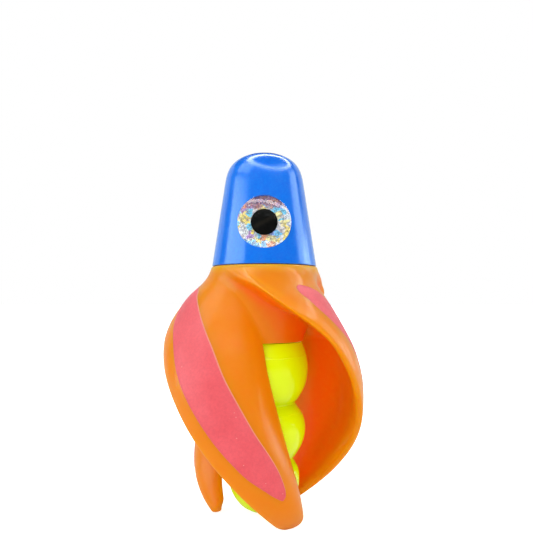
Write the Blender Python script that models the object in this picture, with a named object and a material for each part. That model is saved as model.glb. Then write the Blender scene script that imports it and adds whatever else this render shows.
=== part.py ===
"""Spinning trolling lure: a three-vane rotor that turns on a line tube.

The lure stands nose up.  +Z is the line's direction, from the tail to the nose.  The origin is on
the rotor's axis, level with the three vane tips that the lure stands on.  -Y is the front.
Azimuths are in degrees from the front (-Y) towards +X.  Dimensions are in millimetres and MM
turns them into metres.
"""
import math

import bmesh
import bpy
import numpy as np

MM = 0.001
TURN = 360.0
ROUND_SEGMENTS = 36
SMALL_SEGMENTS = 20
SHARP_ANGLE = 35.0          # edges bent more than this stay sharp in shading
FACE_GAP = 0.05             # between faces that touch on the real object
CUTTER_OVERRUN = 1.0        # how far a bore's cutter runs past the faces it opens

# ---- rotor -------------------------------------------------------------------------------------
VANES = 3
VANE_STEP = TURN / VANES
COLLAR_TOP = 29.2
COLLAR_RADIUS = 6.36
COLLAR_LIP = 0.2            # radius of the rounded edge on the collar's top
HUB_BOTTOM = 20.4
WEB_TOP = 24.6              # above this height a vane is a solid web down to the hub
WEB_POWER = 2.5             # how soon a free plate thickens into a web above the hub's bottom
# (height, value) stations of a vane, bottom to top
RIDGE_RADIUS = [(0.0, 6.2), (1.0, 7.17), (3.0, 8.7), (6.0, 10.12), (10.0, 11.34), (14.0, 11.89),
                (18.0, 12.06), (21.0, 11.69), (24.0, 10.46), (26.0, 9.05), (27.0, 7.95), (28.0, 7.0),
                (28.9, 6.36)]
RIDGE_AZIMUTH = [(0.0, 135.6), (3.0, 116.6), (6.0, 100.8), (12.0, 75.0), (18.0, 50.7),
                 (21.0, 38.8), (24.0, 23.3), (26.0, 8.8), (28.0, -10.5), (28.9, -18.0)]
VANE_WIDTH = [(0.0, 40.5), (6.0, 55.4), (12.0, 64.2), (18.0, 72.4), (24.0, 75.9), (28.9, 77.0)]
VANE_FULLNESS = [(0.0, 3.24), (6.0, 2.81), (12.0, 2.27), (18.0, 1.75), (24.0, 1.53), (28.9, 2.0)]
INNER_RADIUS = [(0.0, 5.5), (5.0, 5.45), (10.0, 5.3), (13.5, 5.25), (17.2, 5.6), (19.3, 5.35),
                (20.4, 5.2), (24.0, 5.9), (27.0, 6.3), (28.9, 6.36)]
HUB_RADIUS = [(20.4, 4.65), (22.0, 5.0), (24.0, 5.55), (26.0, 6.0), (28.0, 6.3), (28.9, 6.36)]
PLATE_THICKNESS = 1.3       # near the ridge
EDGE_BULGE = 0.35           # rounding of the inner edge, as a part of the last outer step
RIDGE_BULGE = 0.5           # rounding of the ridge, as a part of the first outer step
INWARD_STEP = 0.01          # across a vane, for the slope of its outer face
EDGE_THICKNESS = [(0.0, 1.15), (6.0, 1.05), (9.5, 0.6), (20.4, 0.55), (28.9, 0.55)]
SCOOP_ANGLE = 20.0          # how far the scoop under a ridge reaches back into the valley
CREST_ANGLE = 2.5           # half-rounded crest of the ridge, where the vane is a web
CREST_DROP = 0.05
TIP_HEIGHT = 2.0            # the rounded tip of a vane
TIP_CENTRE = 0.2            # across the vane, 0 at the ridge and 1 at the inner edge
TIP_EDGE_ROUND = 0.6
TIP_FLAT = 0.18             # part of the full width and thickness left at the very tip
VALLEY_START = 1.5          # degrees from a vane's inner edge to the floor of the valley beside it
VALLEY_FOOT = 3.0           # degrees left free at the foot of the next vane, where it is a plate
VALLEY_POWER_LOW = 6.0      # steepness of the valley's side at the hub's bottom and at the collar
VALLEY_POWER_HIGH = 2.0

# ---- stripes set into the vanes -----------------------------------------------------------------
# (height, place across the vane) stations of the stripe's two long edges
STRIPE_NEAR = [(4.3, 0.43), (4.7, 0.38), (5.5, 0.325), (6.8, 0.25), (8.5, 0.215), (14.0, 0.18),
               (20.0, 0.2), (25.2, 0.2), (26.3, 0.24), (26.7, 0.3), (26.9, 0.36)]
STRIPE_FAR = [(4.3, 0.45), (4.6, 0.5), (5.2, 0.55), (6.0, 0.58), (12.0, 0.585), (18.0, 0.56),
              (21.0, 0.53), (25.6, 0.52), (26.3, 0.51), (26.7, 0.45), (26.9, 0.38)]
STRIPE_ROWS = 14
STRIPE_COLUMNS = 3
STRIPE_THICKNESS = 0.25
STRIPE_RECESS = 0.35
STRIPE_CUTTER_RISE = 0.5    # how far a recess's cutter stands out of the vane
STRIPE_SIDE_GAP = 0.012     # across the vane, as a part of its width
END_GAP_FACTOR = 10.0       # millimetres of gap at a stripe's ends for each unit of side gap

# ---- nose cap -----------------------------------------------------------------------------------
CAP_BASE = 29.25
CAP_TOP = 42.7
CAP_BASE_RADIUS = 6.22
CAP_TAPER = 0.156           # radius lost for each millimetre of height
CAP_CROWN = 4.2
CAP_CROWN_POWER = 3.8
CAP_SPIGOT_WALL = 1.1
CAP_TOP_CAVITY = 3.3        # radius of the hollow inside, just under the nose
CAP_CEILING_RADIUS = 2.4
CAP_CEILING_CHAMFER = 0.7
NOSE_WALL = 1.0             # between the front eyelet's seat and the nose bush
CROWN_STEPS = 8
NOSE_BORE = 1.2
HUB_BORE = 1.3
SPIGOT_RADIUS = 5.1
SPIGOT_DEPTH = 2.2
SOCKET_GAP = 0.08
NOSE_DIMPLE_RADIUS = 1.9
NOSE_DIMPLE_DEPTH = 0.65
NOSE_FLOOR = CAP_TOP - NOSE_DIMPLE_DEPTH
NOSE_RIM_STEP = 0.05        # least height between the dimple's rim and the crown's last ring
EYELET_CLEARANCE = 0.2

# ---- eyes ---------------------------------------------------------------------------------------
EYE_HEIGHT = 33.85
EYE_RADIUS = 3.0
EYE_SEAT_GAP = 0.08
EYE_SEAT_DEPTH = 0.75
EYE_CUTTER_HEIGHT = 3.0
FOIL_THICKNESS = 0.3
PUPIL_RADIUS = 1.5
PUPIL_THICKNESS = 0.1
DOME_EDGE = 0.12
DOME_RISE = 0.55
DOME_STEPS = 4

# ---- running gear -------------------------------------------------------------------------------
TUBE_RADIUS = 1.0
TUBE_BORE = 0.6
RUNNING_GAP = 0.06
BUSH_RADIUS = 1.75
BUSH_LENGTH = 1.6
PRESS_GAP = 0.05
WASHER_RADIUS = 2.3
WASHER_THICKNESS = 0.4
WASHER_SEAT_GAP = 0.1
WASHER_SEAT_DEPTH = 0.36
WASHER_LIFT = 0.03          # free play under the washer
EYELET_RADIUS = 1.55
EYELET_FLANGE = 0.3
EYELET_CHAMFER = 0.1
EYELET_BARREL = 1.2
EYELET_BORE = 0.38
EYELET_FIT = 0.04           # between an eyelet's barrel and the tube's bore
TAIL_POCKET_RADIUS = 1.7
TAIL_POCKET_DEPTH = 0.75
TAIL_TUBE_REACH = 0.2       # how far the tube's tail end stands into the pocket

# ---- bead core: three merged beads --------------------------------------------------------------
# (radius, height) of the outline, from the top face down
BEAD_OUTLINE = [(4.5, 20.3), (4.95, 19.0), (5.17, 17.2), (4.75, 15.1), (3.85, 13.75), (3.54, 13.35),
                (3.85, 12.85), (4.6, 11.6), (4.8, 10.3), (4.4, 8.6), (3.6, 7.3), (3.29, 6.95),
                (3.55, 6.5), (4.05, 5.5), (4.2, 4.5), (4.0, 2.9), (3.45, 1.75), (2.7, 0.85), (2.0, 0.4)]
BEAD_TOP = BEAD_OUTLINE[0][1]
BEAD_BOTTOM = BEAD_OUTLINE[-1][1]


# ---- helpers ------------------------------------------------------------------------------------

def value_at(stations, height):
    """Smooth cubic curve through (height, value) stations."""
    heights = np.array([point[0] for point in stations])
    values = np.array([point[1] for point in stations])
    slopes = np.gradient(values, heights)
    height = min(max(height, heights[0]), heights[-1])
    i = min(max(int(np.searchsorted(heights, height)) - 1, 0), len(heights) - 2)
    span = heights[i + 1] - heights[i]
    t = (height - heights[i]) / span
    start = (1 + 2 * t) * (1 - t) ** 2 * values[i] + t * (1 - t) ** 2 * span * slopes[i]
    end = t * t * (3 - 2 * t) * values[i + 1] + t * t * (t - 1) * span * slopes[i + 1]
    return float(start + end)


def polar(radius, azimuth, height):
    """Point at a radius, an azimuth in degrees and a height, in millimetres."""
    angle = math.radians(azimuth)
    return np.array([radius * math.sin(angle), -radius * math.cos(angle), height])


def smooth_step(t):
    t = min(max(t, 0.0), 1.0)
    return t * t * (3 - 2 * t)


def material(name, colour, roughness, metallic=0.0, alpha=1.0):
    """Principled material with one colour (linear RGB)."""
    made = bpy.data.materials.new(name)
    made.use_nodes = True
    shader = made.node_tree.nodes["Principled BSDF"]
    shader.inputs["Base Color"].default_value = (*colour, 1.0)
    shader.inputs["Roughness"].default_value = roughness
    shader.inputs["Metallic"].default_value = metallic
    shader.inputs["Alpha"].default_value = alpha
    return made


def add_object(name, points, faces, finish, parent=None):
    """Object from points in millimetres, with its normals facing out."""
    mesh = bpy.data.meshes.new(name)
    mesh.from_pydata([tuple(np.array(point) * MM) for point in points], [], faces)
    body = bmesh.new()
    body.from_mesh(mesh)
    bmesh.ops.recalc_face_normals(body, faces=body.faces)
    if body.calc_volume(signed=True) < 0:
        bmesh.ops.reverse_faces(body, faces=body.faces)
    body.to_mesh(mesh)
    body.free()
    mesh.shade_smooth()
    mesh.set_sharp_from_angle(angle=math.radians(SHARP_ANGLE))
    placed = bpy.data.objects.new(name, mesh)
    bpy.context.collection.objects.link(placed)
    if finish is not None:
        mesh.materials.append(finish)
    placed.parent = parent
    return placed


def bridge(faces, lower, upper):
    """Quads between two closed loops of vertex numbers."""
    count = len(lower)
    for i in range(count):
        j = (i + 1) % count
        faces.append((lower[i], lower[j], upper[j], upper[i]))


def turned(name, outline, finish, parent=None, segments=ROUND_SEGMENTS):
    """Ring turned about Z from a closed outline of (radius, height) points off the axis."""
    points = []
    faces = []
    rings = []
    for radius, height in outline:
        rings.append([len(points) + i for i in range(segments)])
        points += [polar(radius, TURN * i / segments, height) for i in range(segments)]
    for i in range(len(rings)):
        bridge(faces, rings[i], rings[(i + 1) % len(rings)])
    return add_object(name, points, faces, finish, parent)


def cut(target, cutter):
    """Take a cutter's shape out of a target."""
    modifier = target.modifiers.new("cut_" + cutter.name, "BOOLEAN")
    modifier.operation = "DIFFERENCE"
    modifier.solver = "EXACT"
    modifier.object = cutter
    cutter.hide_render = True
    cutter.display_type = "WIRE"


def axis_empty(name):
    """Empty on the lure's axis that a turning body hangs from."""
    empty = bpy.data.objects.new(name, None)
    bpy.context.collection.objects.link(empty)
    return empty


# ---- vane shape ---------------------------------------------------------------------------------

ACROSS = [0.0, 0.06, 0.15, 0.28, 0.42, 0.56, 0.69, 0.81, 0.91, 0.97]
EDGE_POINTS = 2
RIDGE_POINTS = 2
VALLEY_STEPS = [0.0, 0.07, 0.16, 0.32, 0.55, 0.8]


def vane_point(height, across):
    """Point on a vane's outer face; across runs from 0 at the ridge to 1 at the inner edge."""
    ridge = value_at(RIDGE_RADIUS, height)
    inner = value_at(INNER_RADIUS, height)
    fullness = value_at(VANE_FULLNESS, height)
    azimuth = value_at(RIDGE_AZIMUTH, height) + across * value_at(VANE_WIDTH, height)
    return polar(inner + (ridge - inner) * (1 - across ** fullness), azimuth, height)


def inward(height, across):
    """Level unit vector from a vane's outer face into the vane."""
    before = vane_point(height, max(across - INWARD_STEP, 0.0))
    after = vane_point(height, min(across + INWARD_STEP, 1.0))
    along = (after - before) / np.linalg.norm(after - before)
    return np.array([-along[1], along[0], 0.0])


def closing(height, length):
    """Factor that falls from 1 to TIP_FLAT along an ellipse over the lowest length of a vane."""
    drop = max(length - height, 0.0) / length
    return math.sqrt(1 - drop * drop * (1 - TIP_FLAT * TIP_FLAT))


def vane_inside(height, across):
    """Point on a free vane's inner face, which nears the outer face towards the inner edge."""
    thinning = (PLATE_THICKNESS - value_at(EDGE_THICKNESS, height)) * across ** 3
    depth = (PLATE_THICKNESS - thinning) * closing(height, TIP_EDGE_ROUND)
    return vane_point(height, across) + depth * inward(height, across)


def rounded_end(start, end, bulge, count):
    """Points between two corners of a plate, on an elliptic arc that stands out by bulge."""
    middle = (start + end) / 2
    half = (start - end) / 2
    angles = [math.pi * (i + 1) / (count + 1) for i in range(count)]
    return [middle + half * math.cos(a) + bulge * math.sin(a) for a in angles]


def web_share(height):
    """1 where a vane is a solid web down to the hub, 0 where it is a free plate."""
    free = 1 - smooth_step((height - HUB_BOTTOM) / (WEB_TOP - HUB_BOTTOM))
    return 1 - free ** WEB_POWER


def azimuth_of(point):
    return math.degrees(math.atan2(point[0], -point[1])) % TURN


def web_point(height, run, plate_point):
    """Point on the wall under a ridge, between a free plate's inner face and a scooped web."""
    web = web_share(height)
    ridge_azimuth = value_at(RIDGE_AZIMUTH, height)
    hub = value_at(HUB_RADIUS, height)
    bend = math.pi / 2 * run
    rise = (value_at(RIDGE_RADIUS, height) - hub) * (1 - CREST_DROP)
    wall_radius = hub + rise * (1 - math.sin(bend))
    wall_back = -CREST_ANGLE - (SCOOP_ANGLE - CREST_ANGLE) * (1 - math.cos(bend))
    plate_radius = math.hypot(plate_point[0], plate_point[1])
    plate_back = (azimuth_of(plate_point) - ridge_azimuth + TURN / 2) % TURN - TURN / 2
    return polar(web * wall_radius + (1 - web) * plate_radius,
                 ridge_azimuth + web * wall_back + (1 - web) * plate_back, height)


def vane_section(height):
    """Outer face, inner edge, inner face and ridge edge of a vane, each a list of points."""
    width = closing(height, TIP_HEIGHT)
    low = TIP_CENTRE * (1 - width)
    places = [low + width * a for a in ACROSS]
    outer = [vane_point(height, place) for place in places]
    inner = [vane_inside(height, place) for place in places]
    web = web_share(height)
    if web > 0:
        inner = [web_point(height, i / (len(inner) - 1), point) for i, point in enumerate(inner)]
    inner.reverse()
    edge = rounded_end(outer[-1], inner[0], (outer[-1] - outer[-2]) * EDGE_BULGE, EDGE_POINTS)
    ridge = rounded_end(inner[-1], outer[0], (outer[0] - outer[1]) * RIDGE_BULGE, RIDGE_POINTS)
    return outer, edge, inner, ridge


def valley(height, foot):
    """Points from a vane's inner edge down to the hub and on to the foot of the next vane."""
    start = value_at(RIDGE_AZIMUTH, height) + value_at(VANE_WIDTH, height) + VALLEY_START
    end = azimuth_of(foot)
    while end < start:
        end += TURN
    end -= VALLEY_FOOT * (1 - web_share(height))
    hub = value_at(HUB_RADIUS, height)
    drop = value_at(INNER_RADIUS, height) - hub
    power = VALLEY_POWER_LOW + (VALLEY_POWER_HIGH - VALLEY_POWER_LOW) * web_share(height)
    return [polar(hub + drop * (1 - s) ** power, start + s * (end - start), height)
            for s in VALLEY_STEPS]


def turn_points(points, degrees):
    """Points turned about the lure's axis, towards larger azimuths."""
    angle = math.radians(degrees)
    spin = np.array([[math.cos(angle), -math.sin(angle), 0.0],
                     [math.sin(angle), math.cos(angle), 0.0],
                     [0.0, 0.0, 1.0]])
    return [spin @ point for point in points]


class Builder:
    """Collects points and faces for one mesh."""

    def __init__(self):
        self.points = []
        self.faces = []

    def add(self, points):
        first = len(self.points)
        self.points += points
        return list(range(first, len(self.points)))


def vane_rotor_shape():
    """The rotor's outside: a collar and hub above HUB_BOTTOM, and three free vanes below it."""
    shape = Builder()
    hub_heights = [HUB_BOTTOM, 21.1, 22.2, 23.6, 25.0, 26.2, 27.3, 28.2, 28.9,
                   COLLAR_TOP - COLLAR_LIP / 2, COLLAR_TOP]
    vane_heights = ([0.0, 0.06, 0.25, 0.6, 1.1, 1.9, 3.0] + [4.6 + 1.8 * i for i in range(9)]
                    + [HUB_BOTTOM])
    shared = {}
    lower = None
    for height in hub_heights:
        outer, edge, inner, ridge = vane_section(height)
        shrink = 1.0
        if height > COLLAR_TOP - COLLAR_LIP:
            lip = (height - COLLAR_TOP + COLLAR_LIP) / COLLAR_LIP
            shrink = 1 - (1 - math.sqrt(1 - lip * lip)) * COLLAR_LIP / COLLAR_RADIUS
        foot = turn_points([inner[0]], VANE_STEP)[0]
        low_ground = valley(height, foot)
        loop = []
        underside = []
        for k in range(VANES):
            parts = []
            for points, ahead in ((outer, 0), (low_ground, 0), (inner, 1), (ridge, 1)):
                placed = turn_points(points, VANE_STEP * (k + ahead))
                flat = [point * np.array([shrink, shrink, 1.0]) for point in placed]
                parts.append(shape.add(flat))
            loop += parts[0] + parts[1] + parts[2] + parts[3]
            if height == HUB_BOTTOM:
                following = (k + 1) % VANES
                shared.setdefault(k, {})["outer"] = parts[0]
                shared.setdefault(following, {})["inner"] = parts[2]
                shared[following]["ridge"] = parts[3]
                shared[following]["edge"] = shape.add(turn_points(edge, VANE_STEP * following))
                underside.append([parts[0][-1]] + parts[1] + [parts[2][0]]
                                 + shared[following]["edge"][::-1])
        if lower:
            bridge(shape.faces, lower, loop)
        else:
            shape.faces.append(sum(underside, []))
        lower = loop
    shape.faces.append(lower)
    for k in range(VANES):
        upper = shared[k]["outer"] + shared[k]["edge"] + shared[k]["inner"] + shared[k]["ridge"]
        for height in reversed(vane_heights[:-1]):
            section = turn_points(sum(vane_section(height), []), VANE_STEP * k)
            loop = shape.add(section)
            bridge(shape.faces, loop, upper)
            upper = loop
        shape.faces.append(upper)
    return shape


def stripe_shape(k, side_gap, out, depth):
    """Curved slab along vane k, from out above its outer face to depth below it."""
    shape = Builder()
    low = STRIPE_NEAR[0][0]
    high = STRIPE_NEAR[-1][0]
    rows = []
    for row in range(STRIPE_ROWS + 1):
        height = (low + high - (high - low) * math.cos(math.pi * row / STRIPE_ROWS)) / 2
        near = value_at(STRIPE_NEAR, height) - side_gap
        far = value_at(STRIPE_FAR, height) + side_gap
        if row == 0:
            height -= side_gap * END_GAP_FACTOR
        if row == STRIPE_ROWS:
            height += side_gap * END_GAP_FACTOR
        places = [near + (far - near) * i / STRIPE_COLUMNS for i in range(STRIPE_COLUMNS + 1)]
        top = [vane_point(height, place) - out * inward(height, place) for place in places]
        bottom = [vane_point(height, place) + depth * inward(height, place) for place in places]
        rows.append(shape.add(turn_points(top + bottom[::-1], VANE_STEP * k)))
    for lower, upper in zip(rows, rows[1:]):
        bridge(shape.faces, lower, upper)
    for row in (rows[0], rows[-1]):
        for i in range(STRIPE_COLUMNS):
            shape.faces.append((row[i], row[i + 1], row[-2 - i], row[-1 - i]))
    return shape


# ---- the pieces ---------------------------------------------------------------------------------

def cap_radius(height):
    """Radius of the nose cap's outside: a tapered side closed by a superelliptic crown."""
    side = CAP_BASE_RADIUS - CAP_TAPER * (height - CAP_BASE)
    crown = max(height - (CAP_TOP - CAP_CROWN), 0.0) / CAP_CROWN
    return side * math.sqrt(max(1 - crown ** CAP_CROWN_POWER, 0.0))


def cap_height(radius):
    """Height at which the crown has a radius, found by halving."""
    low = CAP_TOP - CAP_CROWN
    high = CAP_TOP
    for _ in range(40):
        middle = (low + high) / 2
        if cap_radius(middle) > radius:
            low = middle
        else:
            high = middle
    return low


def make_rotor(parent):
    """Orange moulding: collar, hub and three vanes, with a socket, a bore and stripe recesses."""
    finish = material("orange_plastic", (0.82, 0.24, 0.01), 0.35)
    shape = vane_rotor_shape()
    rotor = add_object("vane_rotor", shape.points, shape.faces, finish, parent)
    socket = SPIGOT_RADIUS + SOCKET_GAP
    socket_floor = COLLAR_TOP - SPIGOT_DEPTH - SOCKET_GAP
    pocket = BUSH_RADIUS + PRESS_GAP
    pocket_top = HUB_BOTTOM + BUSH_LENGTH + PRESS_GAP
    low = HUB_BOTTOM - CUTTER_OVERRUN
    high = COLLAR_TOP + CUTTER_OVERRUN
    cut(rotor, disc("rotor_bore_cutter", [
        (0, low), (pocket, low), (pocket, pocket_top), (HUB_BORE, pocket_top),
        (HUB_BORE, socket_floor), (socket, socket_floor), (socket, high), (0, high)], None, parent))
    stripe_finish = material("pink_plastic", (0.86, 0.14, 0.19), 0.5)
    for k in range(VANES):
        recess = stripe_shape(k, STRIPE_SIDE_GAP, STRIPE_CUTTER_RISE, STRIPE_RECESS)
        cutter = add_object("stripe_cutter_%d" % (k + 1), recess.points, recess.faces, None, parent)
        cut(rotor, cutter)
        inlay = stripe_shape(k, 0.0, 0.0, STRIPE_THICKNESS)
        add_object("stripe_inlay_%d" % (k + 1), inlay.points, inlay.faces, stripe_finish, parent)


def make_cap(parent):
    """Blue hollow nose cap with a spigot for the collar and a dimple for the front eyelet."""
    finish = material("blue_plastic", (0.0, 0.16, 0.85), 0.25)
    crown_base = CAP_TOP - CAP_CROWN
    heights = [CAP_BASE, (2 * CAP_BASE + crown_base) / 3, (CAP_BASE + 2 * crown_base) / 3]
    heights += [crown_base + CAP_CROWN * math.sin(math.pi / 2 * i / CROWN_STEPS)
                for i in range(CROWN_STEPS)]
    rim = cap_height(NOSE_DIMPLE_RADIUS)
    outside = [(cap_radius(height), height) for height in heights if height < rim - NOSE_RIM_STEP]
    bush_top = NOSE_FLOOR - NOSE_WALL
    ceiling = bush_top - BUSH_LENGTH - PRESS_GAP
    pocket = BUSH_RADIUS + PRESS_GAP
    inside = SPIGOT_RADIUS - CAP_SPIGOT_WALL
    spigot_bottom = COLLAR_TOP - SPIGOT_DEPTH
    outline = ([(SPIGOT_RADIUS, spigot_bottom), (SPIGOT_RADIUS, CAP_BASE)] + outside
               + [(NOSE_DIMPLE_RADIUS, rim), (EYELET_RADIUS + EYELET_CLEARANCE, NOSE_FLOOR),
                  (NOSE_BORE, NOSE_FLOOR), (NOSE_BORE, bush_top), (pocket, bush_top),
                  (pocket, ceiling), (CAP_CEILING_RADIUS, ceiling),
                  (CAP_TOP_CAVITY, ceiling - CAP_CEILING_CHAMFER),
                  (inside, CAP_BASE + NOSE_WALL), (inside, spigot_bottom)])
    return turned("nose_cap", outline, finish, parent)


def eye_frame(name, azimuth, parent):
    """Empty on the floor of an eye's seat, with its Z axis square to the cap's sloping side."""
    slope = math.atan(CAP_TAPER)
    radius = cap_radius(EYE_HEIGHT) - EYE_SEAT_DEPTH / math.cos(slope)
    frame = bpy.data.objects.new(name, None)
    bpy.context.collection.objects.link(frame)
    frame.location = tuple(polar(radius, azimuth, EYE_HEIGHT) * MM)
    frame.rotation_euler = (math.pi / 2 - slope, 0.0, math.radians(azimuth))
    frame.parent = parent
    return frame


def disc(name, outline, finish, parent, segments=ROUND_SEGMENTS):
    """Solid of revolution about its own Z axis; the outline runs from the axis to the axis."""
    shape = Builder()
    rings = [shape.add([polar(radius, TURN * i / segments, height) for i in range(segments)])
             for radius, height in outline[1:-1]]
    for lower, upper in zip(rings, rings[1:]):
        bridge(shape.faces, lower, upper)
    for end, ring in ((outline[0], rings[0]), (outline[-1], rings[-1])):
        centre = shape.add([np.array([0.0, 0.0, end[1]])])[0]
        for i in range(segments):
            shape.faces.append((centre, ring[i], ring[(i + 1) % segments]))
    return add_object(name, shape.points, shape.faces, finish, parent)


def make_eye(side, azimuth, cap, parent):
    """Lure eye in its seat: patterned foil disc, black pupil disc and a clear dome."""
    foil_finish = material("eye_foil_" + side, (0.55, 0.62, 0.68), 0.25, 0.8)
    pupil_finish = material("eye_pupil_" + side, (0.01, 0.01, 0.01), 0.3)
    dome_finish = material("eye_dome_" + side, (0.95, 0.97, 1.0), 0.05, alpha=0.3)
    frame = eye_frame("eye_frame_" + side, azimuth, parent)
    seat = EYE_RADIUS + EYE_SEAT_GAP
    cut(cap, disc("eye_seat_cutter_" + side,
                  [(0, 0), (seat, 0), (seat, EYE_CUTTER_HEIGHT), (0, EYE_CUTTER_HEIGHT)], None, frame))
    low = FACE_GAP
    high = low + FOIL_THICKNESS
    disc("eye_foil_" + side, [(0, low), (EYE_RADIUS, low), (EYE_RADIUS, high), (0, high)],
         foil_finish, frame)
    low = high + FACE_GAP
    high = low + PUPIL_THICKNESS
    disc("eye_pupil_" + side, [(0, low), (PUPIL_RADIUS, low), (PUPIL_RADIUS, high), (0, high)],
         pupil_finish, frame, SMALL_SEGMENTS)
    low = high + FACE_GAP
    arc = []
    for i in range(DOME_STEPS + 1):
        bend = math.pi / 2 * i / DOME_STEPS
        arc.append((EYE_RADIUS * math.cos(bend), low + DOME_EDGE + DOME_RISE * math.sin(bend)))
    disc("eye_dome_" + side, [(0, low), (EYE_RADIUS, low)] + arc[:-1] + [(0, arc[-1][1])],
         dome_finish, frame)


def make_bushes(parent):
    """Two bearing bushes, one in the hub and one in the nose."""
    finish = material("bush_nylon", (0.8, 0.8, 0.76), 0.4)
    bore = TUBE_RADIUS + RUNNING_GAP
    nose_low = NOSE_FLOOR - NOSE_WALL - PRESS_GAP - BUSH_LENGTH
    for name, low in (("hub_bush", HUB_BOTTOM), ("nose_bush", nose_low)):
        turned(name, [(bore, low + BUSH_LENGTH), (bore, low), (BUSH_RADIUS, low),
                      (BUSH_RADIUS, low + BUSH_LENGTH)], finish, parent, SMALL_SEGMENTS)


def make_bead_core(parent):
    """Chartreuse core of three merged beads, with a washer seat on top and an eyelet pocket below."""
    finish = material("chartreuse_plastic", (0.68, 0.85, 0.01), 0.3)
    bore = TUBE_RADIUS + RUNNING_GAP
    seat = WASHER_RADIUS + WASHER_SEAT_GAP
    seat_floor = BEAD_TOP - WASHER_SEAT_DEPTH
    pocket_floor = BEAD_BOTTOM + TAIL_POCKET_DEPTH
    outline = rounded_outline(BEAD_OUTLINE[::-1])
    outline += [(seat, BEAD_TOP), (seat, seat_floor), (bore, seat_floor), (bore, pocket_floor),
                (TAIL_POCKET_RADIUS, pocket_floor), (TAIL_POCKET_RADIUS, BEAD_BOTTOM)]
    turned("bead_core", outline, finish, parent)


def rounded_outline(points):
    """The outline's points, with one more on a smooth curve in the middle of each stretch."""
    run = [0.0]
    for (r0, z0), (r1, z1) in zip(points, points[1:]):
        run.append(run[-1] + math.hypot(r1 - r0, z1 - z0))
    radii = [(s, point[0]) for s, point in zip(run, points)]
    heights = [(s, point[1]) for s, point in zip(run, points)]
    smooth = []
    for start, end in zip(run, run[1:]):
        for s in (start, (start + end) / 2):
            smooth.append((value_at(radii, s), value_at(heights, s)))
    return smooth + [points[-1]]


def make_spindle(parent):
    """Line tube with a grommet eyelet at each end and the thrust washer under the hub."""
    tube_finish = material("steel_tube", (0.6, 0.6, 0.6), 0.25, 1.0)
    brass = material("brass", (0.8, 0.55, 0.2), 0.25, 1.0)
    washer_finish = material("washer_steel", (0.6, 0.6, 0.6), 0.3, 1.0)
    tube_top = NOSE_FLOOR - FACE_GAP
    tube_bottom = BEAD_BOTTOM + TAIL_POCKET_DEPTH - TAIL_TUBE_REACH
    turned("line_tube", [(TUBE_BORE, tube_top), (TUBE_BORE, tube_bottom), (TUBE_RADIUS, tube_bottom),
                         (TUBE_RADIUS, tube_top)], tube_finish, parent, SMALL_SEGMENTS)
    barrel = TUBE_BORE - EYELET_FIT
    for name, end, way in (("nose_eyelet", tube_top, 1), ("tail_eyelet", tube_bottom, -1)):
        under = end + way * FACE_GAP
        face = under + way * EYELET_FLANGE
        inner = end - way * EYELET_BARREL
        outline = [(EYELET_BORE, face), (EYELET_BORE, inner), (barrel, inner), (barrel, under),
                   (EYELET_RADIUS, under), (EYELET_RADIUS, face - way * EYELET_CHAMFER),
                   (EYELET_RADIUS - EYELET_CHAMFER, face)]
        turned(name, outline, brass, parent, SMALL_SEGMENTS)
    low = BEAD_TOP - WASHER_SEAT_DEPTH + WASHER_LIFT
    bore = TUBE_RADIUS + RUNNING_GAP
    turned("thrust_washer", [(bore, low + WASHER_THICKNESS), (bore, low), (WASHER_RADIUS, low),
                             (WASHER_RADIUS, low + WASHER_THICKNESS)],
           washer_finish, parent, SMALL_SEGMENTS)


def main():
    for existing in list(bpy.data.objects):
        bpy.data.objects.remove(existing, do_unlink=True)
    spindle = axis_empty("spindle_axis")
    rotor = axis_empty("rotor_axis")
    beads = axis_empty("bead_axis")
    make_spindle(spindle)
    make_rotor(rotor)
    cap = make_cap(rotor)
    make_eye("front", 0.0, cap, rotor)
    make_eye("back", 180.0, cap, rotor)
    make_bushes(rotor)
    make_bead_core(beads)


main()
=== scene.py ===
"""Looks of a spinning trolling lure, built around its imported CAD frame.

The lure stands nose up on three vane tips.  -Y is the front, +Z runs from the tail to the nose.
Azimuths are in degrees from the front (-Y) towards +X.  Shapes are in millimetres and MM turns
them into metres.  Heights that other pieces share are read from the frame's boxes.
"""
import math

import bmesh
import bpy
import numpy as np
from mathutils import Matrix, Vector, kdtree, noise


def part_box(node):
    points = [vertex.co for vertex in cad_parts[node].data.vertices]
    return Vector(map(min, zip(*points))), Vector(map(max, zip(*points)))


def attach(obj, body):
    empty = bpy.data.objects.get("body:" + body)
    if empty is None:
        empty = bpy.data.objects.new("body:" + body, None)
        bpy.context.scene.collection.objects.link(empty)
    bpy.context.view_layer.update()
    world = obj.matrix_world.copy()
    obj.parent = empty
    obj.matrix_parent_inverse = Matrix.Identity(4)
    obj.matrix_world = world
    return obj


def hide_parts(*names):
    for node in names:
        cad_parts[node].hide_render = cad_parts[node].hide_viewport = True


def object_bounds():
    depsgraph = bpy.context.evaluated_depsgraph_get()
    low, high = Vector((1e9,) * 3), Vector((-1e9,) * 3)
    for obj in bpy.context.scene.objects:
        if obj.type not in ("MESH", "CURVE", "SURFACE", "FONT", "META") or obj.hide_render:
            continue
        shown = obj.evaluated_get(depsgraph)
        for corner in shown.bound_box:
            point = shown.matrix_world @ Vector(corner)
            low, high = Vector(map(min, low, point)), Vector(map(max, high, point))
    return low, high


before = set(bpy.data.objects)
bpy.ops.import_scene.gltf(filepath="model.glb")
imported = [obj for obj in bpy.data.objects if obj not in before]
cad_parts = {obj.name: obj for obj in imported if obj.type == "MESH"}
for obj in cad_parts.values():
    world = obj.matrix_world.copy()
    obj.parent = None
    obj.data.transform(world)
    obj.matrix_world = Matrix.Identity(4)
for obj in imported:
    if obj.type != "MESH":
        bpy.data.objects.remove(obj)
cad_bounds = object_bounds()

MM = 0.001
TURN = 360.0
ROUND_SEGMENTS = 96  # of bores, eye seats, films and pupils
VANES = 3
VANE_STEP = TURN / VANES


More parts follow.
